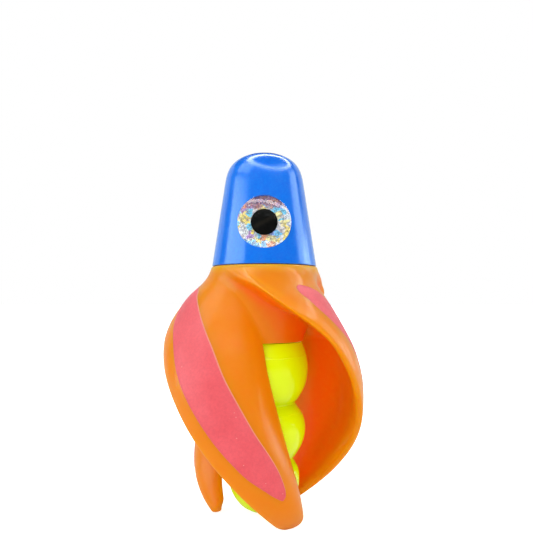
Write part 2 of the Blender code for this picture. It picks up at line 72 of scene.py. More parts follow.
# ---- numbers read from the frame ----

def low_high(node):
    """Lowest and highest corners of a CAD node, in millimetres."""
    low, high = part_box(node)
    return np.array(low) / MM, np.array(high) / MM


COLLAR_TOP = low_high("vane_rotor")[1][2]
CAP_LOW = low_high("nose_cap")[0][2]
HUB_BOTTOM = low_high("hub_bush")[0][2]
BEAD_BOTTOM = low_high("bead_core")[0][2]
BEAD_TOP = low_high("bead_core")[1][2]


# ---- curves and points ----

def cubic(t, start, leaving, end, arriving):
    """Cubic from start to end, which leaves and arrives at the given slopes; t runs from 0 to 1."""
    return ((1 + 2 * t) * (1 - t) ** 2 * start + t * (1 - t) ** 2 * leaving
            + t * t * (3 - 2 * t) * end + t * t * (t - 1) * arriving)


def curve(stations):
    """Smooth cubic curve through (place, value) stations, as a function of an array of places."""
    places, values = np.array(stations, float).T
    slopes = np.gradient(values, places)

    def at(place):
        place = np.clip(place, places[0], places[-1])
        i = np.clip(np.searchsorted(places, place, side="right") - 1, 0, len(places) - 2)
        span = places[i + 1] - places[i]
        return cubic((place - places[i]) / span, values[i], span * slopes[i],
                     values[i + 1], span * slopes[i + 1])

    return at


def polar(radius, azimuth, height):
    """Points at radii, azimuths in degrees and heights, as rows of an array."""
    angle = np.radians(azimuth)
    radius, angle, height = np.broadcast_arrays(radius, angle, height)
    return np.stack([radius * np.sin(angle), -radius * np.cos(angle), height], axis=-1)


def turned_by(points, degrees):
    """Points turned about the lure's axis, towards larger azimuths."""
    angle = math.radians(degrees)
    spin = np.array([[math.cos(angle), -math.sin(angle), 0.0],
                     [math.sin(angle), math.cos(angle), 0.0],
                     [0.0, 0.0, 1.0]])
    return points @ spin.T


def smooth_step(t):
    t = np.clip(t, 0.0, 1.0)
    return t * t * (3 - 2 * t)


def crowded(steps, even):
    """Places from 0 to 1, closer together at both ends the smaller the even share is."""
    t = np.linspace(0.0, 1.0, steps)
    return even * t + (1 - even) * (0.5 - 0.5 * np.cos(np.pi * t))


# ---- meshes ----

class Shape:
    """Collects points in millimetres, a painted light and shade value for each point, and faces."""

    def __init__(self):
        self.points = []
        self.shades = []
        self.faces = []
        self.count = 0

    def add(self, points, shade=0.0):
        points = np.asarray(points, float).reshape(-1, 3)
        self.points.append(points)
        self.shades.append(np.broadcast_to(np.asarray(shade, float), (len(points),)))
        first = self.count
        self.count += len(points)
        return list(range(first, self.count))

    def bridge(self, lower, upper):
        """Quads between two closed loops of point numbers."""
        for i in range(len(lower)):
            j = (i + 1) % len(lower)
            self.faces.append((lower[i], lower[j], upper[j], upper[i]))

    def fan(self, loop, height):
        """Closes a loop with triangles to a new point on the axis."""
        centre = self.add([(0.0, 0.0, height)])[0]
        for i in range(len(loop)):
            self.faces.append((centre, loop[i], loop[(i + 1) % len(loop)]))


def new_object(name, data):
    """Object in the scene that shows a mesh, a camera or a light."""
    made = bpy.data.objects.new(name, data)
    bpy.context.scene.collection.objects.link(made)
    return made


def mesh_object(name, shape, sharp=40.0):
    """Object from a shape, with its faces out and edges above the sharp angle left sharp."""
    mesh = bpy.data.meshes.new(name)
    mesh.from_pydata((np.concatenate(shape.points) * MM).tolist(), [], shape.faces)
    store_shade(mesh, np.concatenate(shape.shades))
    body = bmesh.new()
    body.from_mesh(mesh)
    bmesh.ops.recalc_face_normals(body, faces=body.faces)
    if body.calc_volume(signed=True) < 0:
        bmesh.ops.reverse_faces(body, faces=body.faces)
    body.to_mesh(mesh)
    body.free()
    mesh.shade_smooth()
    mesh.set_sharp_from_angle(angle=math.radians(sharp))
    return new_object(name, mesh)


def store_shade(mesh, values):
    """Keeps one number for each point, which the materials read as "shade" to paint light and shade."""
    layer = mesh.attributes.get("shade") or mesh.attributes.new("shade", "FLOAT", "POINT")
    layer.data.foreach_set("value", np.asarray(values, np.float32))


def apply_cuts(target, cutters, sharp=40.0):
    """Takes the cutters out of the target, and gives new points the nearest old point's shade."""
    mesh = target.data
    old = np.zeros(len(mesh.vertices) * 3, np.float32)
    mesh.vertices.foreach_get("co", old)
    old = old.reshape(-1, 3)
    shades = np.zeros(len(mesh.vertices), np.float32)
    mesh.attributes["shade"].data.foreach_get("value", shades)
    tree = kdtree.KDTree(len(old))
    for i, point in enumerate(old):
        tree.insert(point, i)
    tree.balance()
    for cutter in cutters:
        modifier = target.modifiers.new("cut", "BOOLEAN")
        modifier.operation = "DIFFERENCE"
        modifier.solver = "EXACT"
        modifier.object = cutter
    bpy.context.view_layer.update()
    graph = bpy.context.evaluated_depsgraph_get()
    made = bpy.data.meshes.new_from_object(target.evaluated_get(graph), depsgraph=graph)
    target.modifiers.clear()
    target.data = made
    for cutter in cutters:
        bpy.data.objects.remove(cutter)
    store_shade(made, [shades[tree.find(vertex.co)[1]] for vertex in made.vertices])
    made.shade_smooth()
    made.set_sharp_from_angle(angle=math.radians(sharp))


def turned_shape(outline, segments, shades=None):
    """Ring turned about Z from a closed outline of (radius, height) points off the axis."""
    shape = Shape()
    around = np.arange(segments) * TURN / segments
    shades = shades if shades is not None else [0.0] * len(outline)
    rings = [shape.add(polar(radius, around, height), shade)
             for (radius, height), shade in zip(outline, shades)]
    for i, ring in enumerate(rings):
        shape.bridge(ring, rings[(i + 1) % len(rings)])
    return shape


def disc_shape(outline, segments):
    """Solid of revolution about Z; the outline's first and last points are on the axis."""
    shape = Shape()
    around = np.arange(segments) * TURN / segments
    rings = [shape.add(polar(radius, around, height)) for radius, height in outline[1:-1]]
    for lower, upper in zip(rings, rings[1:]):
        shape.bridge(lower, upper)
    shape.fan(rings[0], outline[0][1])
    shape.fan(rings[-1], outline[-1][1])
    return shape


def arc(centre, radii, start, end, steps):
    """Points of an ellipse's arc in the (radius, height) plane, angles in degrees."""
    angles = np.radians(np.linspace(start, end, steps))
    return [(centre[0] + radii[0] * math.cos(a), centre[1] + radii[1] * math.sin(a)) for a in angles]


def dress(placed, finish):
    """Makes a material the object's only one."""
    placed.data.materials.clear()
    placed.data.materials.append(finish)


def finish_piece(placed, finish, body, slot, *nodes):
    """Gives a piece its material and its body, and hides the CAD nodes that it stands for; slot is not
    used.
    """
    dress(placed, finish)
    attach(placed, body)
    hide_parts(*nodes)


# ---- material nodes ----

class Look:
    """A material's node tree, with short calls for the nodes that the looks need."""

    def __init__(self, name, **sockets):
        self.material = bpy.data.materials.new(name)
        self.material.use_nodes = True
        self.tree = self.material.node_tree
        self.shader = self.tree.nodes["Principled BSDF"]
        for socket, value in sockets.items():
            self.shader.inputs[socket.replace("_", " ")].default_value = value
        self.place = self.tree.nodes.new("ShaderNodeTexCoord").outputs["Object"]

    def node(self, kind, feeds=None, **settings):
        """New node with the given settings; feeds maps its input sockets to what they take."""
        made = self.tree.nodes.new(kind)
        for key, value in settings.items():
            setattr(made, key, value)
        for socket, value in (feeds or {}).items():
            self.feed(made.inputs[socket], value)
        return made

    def link(self, source, target):
        self.tree.links.new(source, target)

    def feed(self, target, value):
        """Links an output to a socket, or sets the socket's own value."""
        if isinstance(value, bpy.types.NodeSocket):
            self.link(value, target)
        else:
            target.default_value = value

    def noise(self, size_mm, detail=2.0, roughness=0.5, distortion=0.0, place=None, output="Fac"):
        """Noise from 0 to 1 whose lumps are about size_mm across."""
        return self.node("ShaderNodeTexNoise", {
            "Scale": 1.0 / (size_mm * MM), "Detail": detail, "Roughness": roughness,
            "Distortion": distortion, "Vector": place or self.place}).outputs[output]

    def voronoi(self, size_mm, feature="F1", output="Distance", place=None):
        feeds = {"Scale": 1.0 / (size_mm * MM), "Vector": place or self.place}
        return self.node("ShaderNodeTexVoronoi", feeds, feature=feature).outputs[output]

    def shade(self):
        """The painted light and shade number stored for each point by store_shade."""
        return self.node("ShaderNodeAttribute", attribute_name="shade").outputs["Fac"]

    def ramp(self, value, stops, interpolation="LINEAR"):
        """Colour ramp; stops are (place, colour) or (place, grey)."""
        made = self.node("ShaderNodeValToRGB")
        made.color_ramp.interpolation = interpolation
        elements = made.color_ramp.elements
        while len(elements) < len(stops):
            elements.new(0.5)
        for element, (place, colour) in zip(elements, stops):
            element.position = place
            if isinstance(colour, (int, float)):
                colour = (colour, colour, colour)
            element.color = (*colour, 1.0)
        self.link(value, made.inputs["Fac"])
        return made.outputs["Color"]

    def span(self, value, low, high, new_low=0.0, new_high=1.0, smooth=False):
        """Value carried from the range low..high to the range new_low..new_high, and held there."""
        feeds = {"Value": value, "From Min": low, "From Max": high, "To Min": new_low,
                 "To Max": new_high}
        kind = "SMOOTHSTEP" if smooth else "LINEAR"
        made = self.node("ShaderNodeMapRange", feeds, clamp=True, interpolation_type=kind)
        return made.outputs["Result"]

    def math(self, operation, first, second=0.0):
        return self.node("ShaderNodeMath", {0: first, 1: second}, operation=operation).outputs[0]

    def vector_math(self, operation, first, second):
        """Result of an operation on a vector and either a second vector or, for SCALE, a number."""
        feeds = {0: first, "Scale" if operation == "SCALE" else 1: second}
        made = self.node("ShaderNodeVectorMath", feeds, operation=operation)
        return made.outputs["Value" if operation == "DOT_PRODUCT" else "Vector"]

    def mix(self, factor, first, second):
        colours = [colour if isinstance(colour, bpy.types.NodeSocket) else (*colour, 1.0)
                   for colour in (first, second)]
        feeds = {"Factor": factor, 6: colours[0], 7: colours[1]}
        return self.node("ShaderNodeMix", feeds, data_type="RGBA").outputs[2]

    def tinged(self, base, field, low, high, amount, colour):
        """Base moved by up to amount towards a colour, as the field goes from low to high."""
        return self.mix(self.math("MULTIPLY", self.span(field, low, high), amount), base, colour)

    def vary_roughness(self, size_mm, detail, low, high):
        """Roughness that wavers between low and high in patches about size_mm across."""
        self.set("Roughness", self.span(self.noise(size_mm, detail), 0.3, 0.7, low, high))

    def bump(self, height, depth_mm, strength=1.0, under=None):
        """Normal raised by a height of up to depth_mm, on top of another bump if one is given."""
        feeds = {"Strength": strength, "Distance": depth_mm * MM, "Height": height}
        if under is not None:
            feeds["Normal"] = under
        return self.node("ShaderNodeBump", feeds).outputs["Normal"]

    def wander(self, size_mm, reach_mm, detail):
        """Offset in metres that sways either way by up to half of reach_mm."""
        centred = self.math("SUBTRACT", self.noise(size_mm, detail), 0.5)
        return self.math("MULTIPLY", centred, reach_mm * MM)

    def stretched(self, scale):
        """Object coordinates scaled apart along X, Y and Z."""
        feeds = {"Scale": scale, "Vector": self.place}
        return self.node("ShaderNodeMapping", feeds).outputs["Vector"]

    def set(self, socket, value):
        self.feed(self.shader.inputs[socket], value)


def orange_look():
    """Translucent moulded orange: painted shade deep red in hollows, painted highlight pale on edges
    and lips.
    """
    look = Look("orange_moulding", IOR=1.47, Subsurface_Weight=0.7, Subsurface_Scale=2.2 * MM,
                Subsurface_Radius=(1.0, 0.28, 0.05), Specular_IOR_Level=0.12, Coat_Weight=0.14,
                Coat_Roughness=0.07, Emission_Color=(1.0, 0.12, 0.0, 1.0))
    # painted light and shade: the pale highlight colour of lips and edges at 0, the deep red of shaded
    # hollows at 1
    tone = look.ramp(look.shade(), [(0.0, (0.88, 0.37, 0.0)), (0.25, (0.86, 0.3, 0.0)),
                                    (0.5, (0.83, 0.235, 0.0)), (0.75, (0.88, 0.175, 0.0)),
                                    (1.0, (0.92, 0.115, 0.0))])
    tone = look.tinged(tone, look.noise(4.0, 3.0), 0.3, 0.7, 0.16, (0.8, 0.15, 0.001))
    tone = look.tinged(tone, look.noise(0.5, 4.0, 0.6), 0.35, 0.75, 0.06, (0.95, 0.42, 0.06))
    look.set("Base Color", tone)
    # painted glow in the hollows, standing in for light that shines through the thin vanes
    look.set("Emission Strength", look.span(look.shade(), 0.45, 1.0, 0.0, 0.08))
    look.set("Roughness", look.span(look.noise(1.6, 3.0), 0.3, 0.75, 0.3, 0.42))
    swell = look.bump(look.noise(2.8, 2.0), 0.05, 0.5)
    look.set("Normal", look.bump(look.noise(0.22, 3.0), 0.006, 0.5, swell))
    return look.material


def pink_look():
    """Satin coral stripe with fine speckle, painted pale as a highlight along the raised edge."""
    look = Look("pink_stripe", IOR=1.45, Subsurface_Weight=0.2, Subsurface_Scale=0.8 * MM,
                Subsurface_Radius=(1.0, 0.35, 0.3), Specular_IOR_Level=0.3)
    base = look.ramp(look.noise(3.2, 3.0), [(0.3, (0.84, 0.095, 0.115)),
                                            (0.7, (0.92, 0.125, 0.15))])
    base = look.tinged(base, look.noise(0.28, 3.0, 0.65), 0.38, 0.7, 0.3, (0.62, 0.06, 0.085))
    base = look.tinged(base, look.voronoi(0.9), 0.075, 0.045, 0.55, (1.0, 0.55, 0.5))
    # painted highlight: pale colour on the flash along the stripe's far edge
    edge = look.span(look.shade(), 0.5, 1.0, smooth=True)
    look.set("Base Color", look.mix(edge, base, (0.92, 0.42, 0.27)))
    look.vary_roughness(0.7, 3.0, 0.4, 0.55)
    swell = look.bump(look.noise(1.6, 2.0), 0.03, 0.5)
    look.set("Normal", look.bump(look.noise(0.16, 3.0), 0.008, 0.7, swell))
    return look.material


def blue_look():
    """Polished opaque blue with a faint orange-peel surface."""
    look = Look("blue_cap", IOR=1.5, Coat_Weight=0.3, Coat_Roughness=0.15,
                Specular_Tint=(0.7, 0.95, 1.0, 1.0),
                Subsurface_Weight=0.08, Subsurface_Scale=0.8 * MM,
                Subsurface_Radius=(0.2, 0.5, 1.0))
    base = look.ramp(look.noise(5.0, 3.0), [(0.3, (0.0, 0.15, 0.82)), (0.7, (0.0, 0.18, 0.88))])
    base = look.tinged(base, look.noise(0.25, 3.0, 0.6), 0.4, 0.75, 0.22, (0.0, 0.34, 1.0))
    look.set("Base Color", base)
    look.vary_roughness(1.2, 3.0, 0.17, 0.24)
    swell = look.bump(look.noise(1.3, 2.0), 0.035, 0.5)
    look.set("Normal", look.bump(look.noise(0.14, 3.0), 0.006, 0.6, swell))
    return look.material


def chartreuse_look():
    """Glossy fluorescent yellow-green beads, with painted shade that makes the necks darker and more
    olive.
    """
    # the emission is a faint glow: partly the beads' real fluorescence, partly painted light that
    # brightens them
    look = Look("chartreuse_beads", IOR=1.5, Specular_IOR_Level=0.22, Subsurface_Weight=0.35,
                Subsurface_Scale=1.2 * MM, Subsurface_Radius=(0.9, 1.0, 0.1), Coat_Weight=0.15,
                Coat_Roughness=0.1, Emission_Color=(0.45, 1.0, 0.0, 1.0), Emission_Strength=0.12)
    # painted shade: darker olive in the necks
    base = look.ramp(look.shade(), [(0.0, (0.76, 0.97, 0.0)), (1.0, (0.6, 0.74, 0.0))])
    base = look.tinged(base, look.noise(2.0, 3.0), 0.35, 0.7, 0.15, (0.82, 1.0, 0.004))
    look.set("Base Color", base)
    look.vary_roughness(0.9, 3.0, 0.14, 0.24)
    look.set("Normal", look.bump(look.noise(0.8, 2.0), 0.012, 0.4))
    return look.material


FILM_WARP_SIZE = 0.7
FILM_WARP_REACH = 1.1
FILM_CELL = 0.75
FILM_VIOLET_START = 1.35  # above the eye's middle, where the film turns violet
FILM_VIOLET_FULL = 1.95


def foil_look():
    """Crinkled holographic film: gold, white, cyan and violet cells with streaks, painted shade in
    creases, painted glints and glow.
    """
    look = Look("eye_film", Metallic=0.15, Specular_IOR_Level=0.2, Emission_Strength=0.34)
    shift = look.noise(FILM_WARP_SIZE, output="Color")
    bent = look.vector_math("ADD", look.place,
                            look.vector_math("SCALE", shift, FILM_WARP_REACH * MM))
    cells = look.voronoi(FILM_CELL, output="Color", place=bent)
    split = look.node("ShaderNodeSeparateColor", {0: cells})
    tint = look.ramp(split.outputs[0], [
        (0.0, (0.95, 0.72, 0.06)), (0.12, (0.74, 0.8, 0.9)), (0.24, (1.0, 0.85, 0.22)),
        (0.34, (0.01, 0.62, 1.0)), (0.46, (0.85, 0.8, 0.85)), (0.54, (0.5, 0.22, 0.72)),
        (0.6, (0.85, 0.88, 0.95)), (0.7, (1.0, 0.3, 0.06)), (0.76, (0.0, 0.5, 0.95)),
        (0.88, (0.95, 0.86, 0.34)), (0.96, (0.1, 0.28, 0.9))], "CONSTANT")
    soft = look.ramp(look.noise(0.8, 3.0, 0.6, 0.6, place=bent), [
        (0.3, (0.2, 0.6, 0.95)), (0.42, (0.95, 0.95, 0.9)), (0.5, (0.98, 0.85, 0.35)),
        (0.58, (0.97, 0.95, 0.97)), (0.7, (0.85, 0.4, 0.7))])
    tint = look.mix(0.18, tint, soft)
    height = look.node("ShaderNodeSeparateXYZ", {0: look.place})
    swayed = look.math("ADD", height.outputs["Y"], look.wander(0.7, 3.0, 3.0))
    top = look.span(swayed, FILM_VIOLET_START * MM, FILM_VIOLET_FULL * MM)
    violet = look.ramp(look.noise(0.42, 4.0, 0.7, 2.0), [
        (0.36, (0.01, 0.004, 0.05)), (0.44, (0.09, 0.03, 0.26)), (0.5, (0.85, 0.3, 0.02)),
        (0.56, (0.2, 0.08, 0.36)), (0.68, (0.75, 0.6, 0.85))])
    tint = look.mix(look.math("MULTIPLY", top, 0.9), tint, violet)
    # painted shade: the film darkens along its creases, here and along the wire lines below
    from_edge = look.voronoi(0.6, feature="DISTANCE_TO_EDGE", place=bent)
    tint = look.mix(look.span(from_edge, 0.0, 0.12, 0.7, 0.0), tint, (0.12, 0.1, 0.16))
    wire = look.noise(0.9, 5.0, 0.7, 2.5)
    from_wire = look.math("ABSOLUTE", look.math("SUBTRACT", wire, 0.5))
    painted_crease_shade = look.span(from_wire, 0.0, 0.03, 0.9, 0.0)
    tint = look.mix(painted_crease_shade, tint, (0.06, 0.05, 0.1))
    # painted glints: small white flecks of highlight
    glint = look.span(look.noise(0.14, 3.0, 0.7), 0.56, 0.68, 0.0, 0.7)
    tint = look.mix(glint, tint, (1.0, 1.0, 0.96))
    look.set("Base Color", tint)
    # the film glows in its own colours: painted light that brightens it
    look.set("Emission Color", tint)
    look.vary_roughness(0.3, 2.0, 0.2, 0.4)
    folds = look.bump(look.voronoi(0.5, place=bent), 0.1, 0.7)
    look.set("Normal", look.bump(look.noise(0.12, 3.0), 0.03, 0.6, folds))
    return look.material


def pupil_look():
    """Black print, specked, with a faint lighter band across it."""
    look = Look("eye_pupil", Specular_IOR_Level=0.1)
    specks = look.math("MULTIPLY", look.span(look.noise(0.07, 2.0), 0.62, 0.8), 0.6)
    slope = look.vector_math("DOT_PRODUCT", look.place, (-0.5, 0.86, 0.0))
    swayed = look.math("ADD", slope, look.wander(0.9, 0.5, 2.0))
    band = look.span(look.math("ABSOLUTE", swayed), 0.1 * MM, 0.34 * MM, 0.35, 0.0)
    look.set("Base Color", look.mix(look.math("MAXIMUM", specks, band), (0.0012, 0.0011, 0.001),
                                    (0.026, 0.02, 0.01)))
    look.vary_roughness(0.4, 2.0, 0.35, 0.5)
    look.set("Normal", look.bump(look.noise(0.1, 2.0), 0.01, 0.5))
    return look.material


LENS_MOST_REFLECTION = 0.16  # largest share of light that the dome reflects


def lens_look():
    """Clear resin: what lies under it shows through, and it reflects more towards its edge."""
    look = Look("eye_resin")
    clear = look.node("ShaderNodeBsdfTransparent", {"Color": (0.97, 0.98, 0.98, 1.0)})
    gloss = look.node("ShaderNodeBsdfGlossy", {
        "Roughness": look.span(look.noise(0.9, 2.0), 0.3, 0.7, 0.02, 0.06),
        "Normal": look.bump(look.noise(1.1, 1.0), 0.01, 0.3)})
    fresnel = look.node("ShaderNodeFresnel", {"IOR": 1.5})
    reflected = look.math("MINIMUM", fresnel.outputs[0], LENS_MOST_REFLECTION)
    both = look.node("ShaderNodeMixShader",
                     {0: reflected, 1: clear.outputs[0], 2: gloss.outputs[0]})
    look.link(both.outputs[0], look.tree.nodes["Material Output"].inputs["Surface"])
    look.tree.nodes.remove(look.shader)
    return look.material


def metal_look(name, colour, dull, size_mm, roughness):
    """Bright metal with fine drawing lines round the part and a few dull patches."""
    look = Look(name, Metallic=1.0)
    lines = look.noise(size_mm, 3.0, place=look.stretched((0.4, 0.4, 6.0)))
    look.set("Base Color", look.tinged(colour, look.noise(0.8, 3.0), 0.45, 0.75, 0.5, dull))
    look.set("Roughness", look.span(lines, 0.3, 0.7, roughness - 0.08, roughness + 0.1))
    look.set("Normal", look.bump(lines, 0.006, 0.4))
    return look.material


def nylon_look():
    """Natural nylon, slightly translucent, with a fine moulded grain."""
    look = Look("bush_nylon", Subsurface_Weight=0.3, Subsurface_Scale=0.8 * MM)
    look.set("Base Color", look.ramp(look.noise(0.7, 3.0), [(0.3, (0.74, 0.73, 0.68)),
                                                            (0.7, (0.84, 0.83, 0.79))]))
    look.vary_roughness(0.3, 2.0, 0.38, 0.5)
    look.set("Normal", look.bump(look.noise(0.12, 3.0), 0.008, 0.6))
    return look.material


# ---- vane rotor ----
# (height, value) stations of a vane, bottom to top.  Those of its ridge, width and fullness are
# mostly the output of a scratch program that fitted a helical vane to the photo, and inner_radius
# was changed from that output.
ridge_radius = curve([(0.0, 6.2), (1.0, 7.17), (3.0, 8.7), (6.0, 10.12), (10.0, 11.34), (14.0, 11.89),
                      (18.0, 12.06), (21.0, 11.69), (24.0, 10.46), (26.0, 9.05), (27.0, 7.95),
                      (28.0, 7.0), (28.9, 6.36)])
ridge_azimuth = curve([(0.0, 135.6), (3.0, 116.6), (6.0, 100.8), (12.0, 75.0), (18.0, 50.7),
                       (21.0, 38.8), (24.0, 23.3), (26.0, 8.8), (28.0, -10.5), (28.9, -18.0)])
vane_width = curve([(0.0, 40.5), (6.0, 55.4), (12.0, 64.2), (17.0, 71.2), (20.4, 78.2), (24.0, 78.5),
                    (28.9, 78.0)])
vane_fullness = curve([(0.0, 3.24), (6.0, 2.81), (12.0, 2.27), (18.0, 1.75), (24.0, 1.53),
                       (28.9, 2.0)])
inner_radius = curve([(0.0, 5.5), (5.0, 5.45), (10.0, 5.3), (13.5, 5.25), (17.2, 5.6), (19.3, 5.35),
                      (20.4, 5.2), (24.0, 5.9), (27.0, 6.3), (28.9, 6.36)])
hub_radius = curve([(20.4, 4.65), (22.0, 5.0), (24.0, 5.55), (26.0, 6.0), (28.0, 6.3), (28.9, 6.36)])
edge_thickness = curve([(0.0, 1.15), (6.0, 1.05), (9.5, 0.6), (20.4, 0.55), (28.9, 0.55)])
PLATE_THICKNESS = 1.3
EDGE_REACH = 1.8  # roundness of the inner edge and of the ridge
RIDGE_THINNING = 0.5  # how much thinner the plate is at the ridge, where it rounds off
RIDGE_BAND = 0.16  # across the vane, how far that reaches
COLLAR_RADIUS = 6.36
COLLAR_LIP = 0.3
WEB_TOP = 26.5  # above this height a vane is a solid web down to the hub
WEB_POWER = 1.5
SCOOP_ANGLE = 20.0  # how far the scoop under a ridge reaches back into the valley
SCOOP_SPREAD = 12.0  # how much wider the wall gets where the ridge runs out at the collar
SOFT_START = 25.5  # the scoop's hollow fades into a straight fold above this height
SOFT_LENGTH = 2.8
CREST_ANGLE = 7.5  # width of the rounded crest, where the vane is a web
CREST_DROP = 0.12  # share of the rise that the crest's rounding takes
TIP_HEIGHT = 2.0  # the rounded tip of a vane
TIP_CENTRE = 0.2  # across the vane, 0 at the ridge and 1 at the inner edge
TIP_EDGE_ROUND = 0.6
TIP_FLAT = 0.18  # part of the full width and thickness left at the very tip
HUB_EDGE_ROUND = 0.12
HUB_EDGE_REACH = 0.15  # share of the valley over which that rounding sets in
EDGE_TO_VALLEY = 1.5  # degrees from a vane's inner edge to where the valley starts
VALLEY_TO_FOOT = 3.0  # degrees from the valley's end to the next vane's free plate
VALLEY_CROWDING = 1.3  # crowds the valley's points towards the inner edge
VALLEY_DROP_POWER = 6.0  # how steeply the valley falls under a free plate
VALLEY_WEB_POWER = 2.0  # and under a web
EVEN_SHARE = 0.55  # of a vane's places across; the rest crowd at both edges
OUTER_POINTS = 34
EDGE_POINTS = 7
RIDGE_POINTS = 9
VALLEY_POINTS = 16
EDGE_ROWS, HUB_ROWS, LIP_ROWS = 6, 40, 8  # sections up the hub
TIP_ROWS, FREE_ROWS = 20, 56  # and up a free vane
LAST_PLACE = 0.97  # across a vane, where the inner edge's rounding starts
# painted light and shade of the moulding, from 0 (pale painted highlight on lips) to 1 (deep red
# painted shade in hollows)
OUTER_SHADE = 0.42
OUTER_RIDGE_SHADE = 0.12  # painted highlight: how much paler the outer face gets along the ridge
OUTER_RIDGE_BAND = 0.12
INNER_SHADE = 0.36
INNER_DEEP_SHADE = 0.62
WEB_PALER = 0.2
EDGE_SHADE = 0.36
RIDGE_SHADE = 0.26
VALLEY_SHADE = 0.4
VALLEY_DEEP_SHADE = 0.45
VALLEY_UNDER_SHADE = 0.25
LEAST_VALLEY_WEB = 0.75
LIP_START = 1.1  # below the collar's top, where the painted shade starts to fade into the lip's painted highlight
LIP_LENGTH = 0.9
HOLLOW_END = 26.0  # above this height the hollows fade out
HOLLOW_LENGTH = 2.8


def vane_point(height, across):
    """Points on a vane's outer face; across runs from 0 at the ridge to 1 at the inner edge."""
    ridge = ridge_radius(height)
    inner = inner_radius(height)
    azimuth = ridge_azimuth(height) + across * vane_width(height)
    return polar(inner + (ridge - inner) * (1 - across ** vane_fullness(height)), azimuth, height)


def inward(height, across):
    """Level unit vectors from a vane's outer face into the vane."""
    step = 0.01
    along = (vane_point(height, np.minimum(across + step, 1.0))
             - vane_point(height, np.maximum(across - step, 0.0)))
    along /= np.linalg.norm(along, axis=-1, keepdims=True)
    return np.stack([-along[..., 1], along[..., 0], np.zeros_like(along[..., 0])], axis=-1)


def closing(height, length):
    """Factor that falls from 1 to TIP_FLAT along an ellipse over the lowest length of a vane."""
    drop = max(length - height, 0.0) / length
    return math.sqrt(1 - drop * drop * (1 - TIP_FLAT * TIP_FLAT))


def vane_inside(height, across):
    """Points on a free vane's inner face, which nears the outer face towards the inner edge."""
    thinning = (PLATE_THICKNESS - edge_thickness(height)) * across ** 3
    thinning = thinning + RIDGE_THINNING * np.clip(1 - across / RIDGE_BAND, 0.0, 1.0) ** 2
    depth = (PLATE_THICKNESS - thinning) * closing(height, TIP_EDGE_ROUND)
    return vane_point(height, across) + depth[..., None] * inward(height, across)


def rounded_end(before, start, end, after, count):
    """Points between two corners of a plate, on a curve that carries on from its two faces."""
    reach = EDGE_REACH * np.linalg.norm(end - start)
    leaving = (start - before) / np.linalg.norm(start - before) * reach
    arriving = (after - end) / np.linalg.norm(after - end) * reach
    return cubic(((np.arange(count) + 1) / (count + 1))[:, None], start, leaving, end, arriving)


def web_share(height):
    """1 where a vane is a solid web down to the hub, 0 where it is a free plate."""
    free = 1 - smooth_step((height - HUB_BOTTOM) / (WEB_TOP - HUB_BOTTOM))
    return float(1 - free ** WEB_POWER)


def azimuth_of(points):
    return np.degrees(np.arctan2(points[..., 0], -points[..., 1])) % TURN


def web_points(height, run, plate_points):
    """Wall under a ridge, between a free plate's inner face and a scooped web."""
    web = web_share(height)
    hub = hub_radius(height)
    bend = np.pi / 2 * run
    soft = smooth_step((height - SOFT_START) / SOFT_LENGTH)
    rise = (ridge_radius(height) - hub) * (1 - CREST_DROP * (1 - soft))
    wall_radius = hub + rise * ((1 - soft) * (1 - np.sin(bend)) + soft * (1 - smooth_step(run)))
    scoop = SCOOP_ANGLE + SCOOP_SPREAD * soft - CREST_ANGLE
    wall_back = -CREST_ANGLE - scoop * ((1 - soft) * (1 - np.cos(bend)) + soft * run)
    plate_radius = np.hypot(plate_points[:, 0], plate_points[:, 1])
    plate_back = (azimuth_of(plate_points) - ridge_azimuth(height) + TURN / 2) % TURN - TURN / 2
    return polar(web * wall_radius + (1 - web) * plate_radius,
                 ridge_azimuth(height) + web * wall_back + (1 - web) * plate_back, height)


def lip_share(height):
    """1 on the collar's lip, where the moulding gets a pale painted highlight, 0 below it."""
    return smooth_step((height - COLLAR_TOP + LIP_START) / LIP_LENGTH)


def hollow_share(height):
    """1 where the hollows between the vanes are deep and get their painted shade, 0 where they run out
    at the collar.
    """
    return 1 - smooth_step((height - HOLLOW_END) / HOLLOW_LENGTH)


def vane_section(height):
    """Outer face, inner edge, inner face and ridge edge of a vane, each with its painted shade values.
    """
    width = closing(height, TIP_HEIGHT)
    across = TIP_CENTRE * (1 - width) + width * (LAST_PLACE * crowded(OUTER_POINTS, EVEN_SHARE))
    outer = vane_point(height, across)
    inner = vane_inside(height, across)
    web = web_share(height)
    if web > 0:
        inner = web_points(height, np.linspace(0.0, 1.0, len(inner)), inner)
    inner = inner[::-1]
    edge = rounded_end(outer[-2], outer[-1], inner[0], inner[1], EDGE_POINTS)
    ridge = rounded_end(inner[-2], inner[-1], outer[0], outer[1], RIDGE_POINTS)
    turn = np.linspace(0.0, 1.0, len(outer))
    kept = 1 - lip_share(height)
    # painted highlight paler along the ridge, and painted shade deep in each vane's hollow
    outer_shade = OUTER_SHADE - OUTER_RIDGE_SHADE * smooth_step(1 - turn / OUTER_RIDGE_BAND)
    deep = np.maximum(smooth_step(turn / 0.25), web) * smooth_step((1 - turn) / 0.5)
    inner_shade = INNER_SHADE + INNER_DEEP_SHADE * deep * hollow_share(height) * (1 - WEB_PALER * web)
    return ((outer, outer_shade * kept), (edge, EDGE_SHADE * kept),
            (inner, inner_shade * kept), (ridge, RIDGE_SHADE * kept))


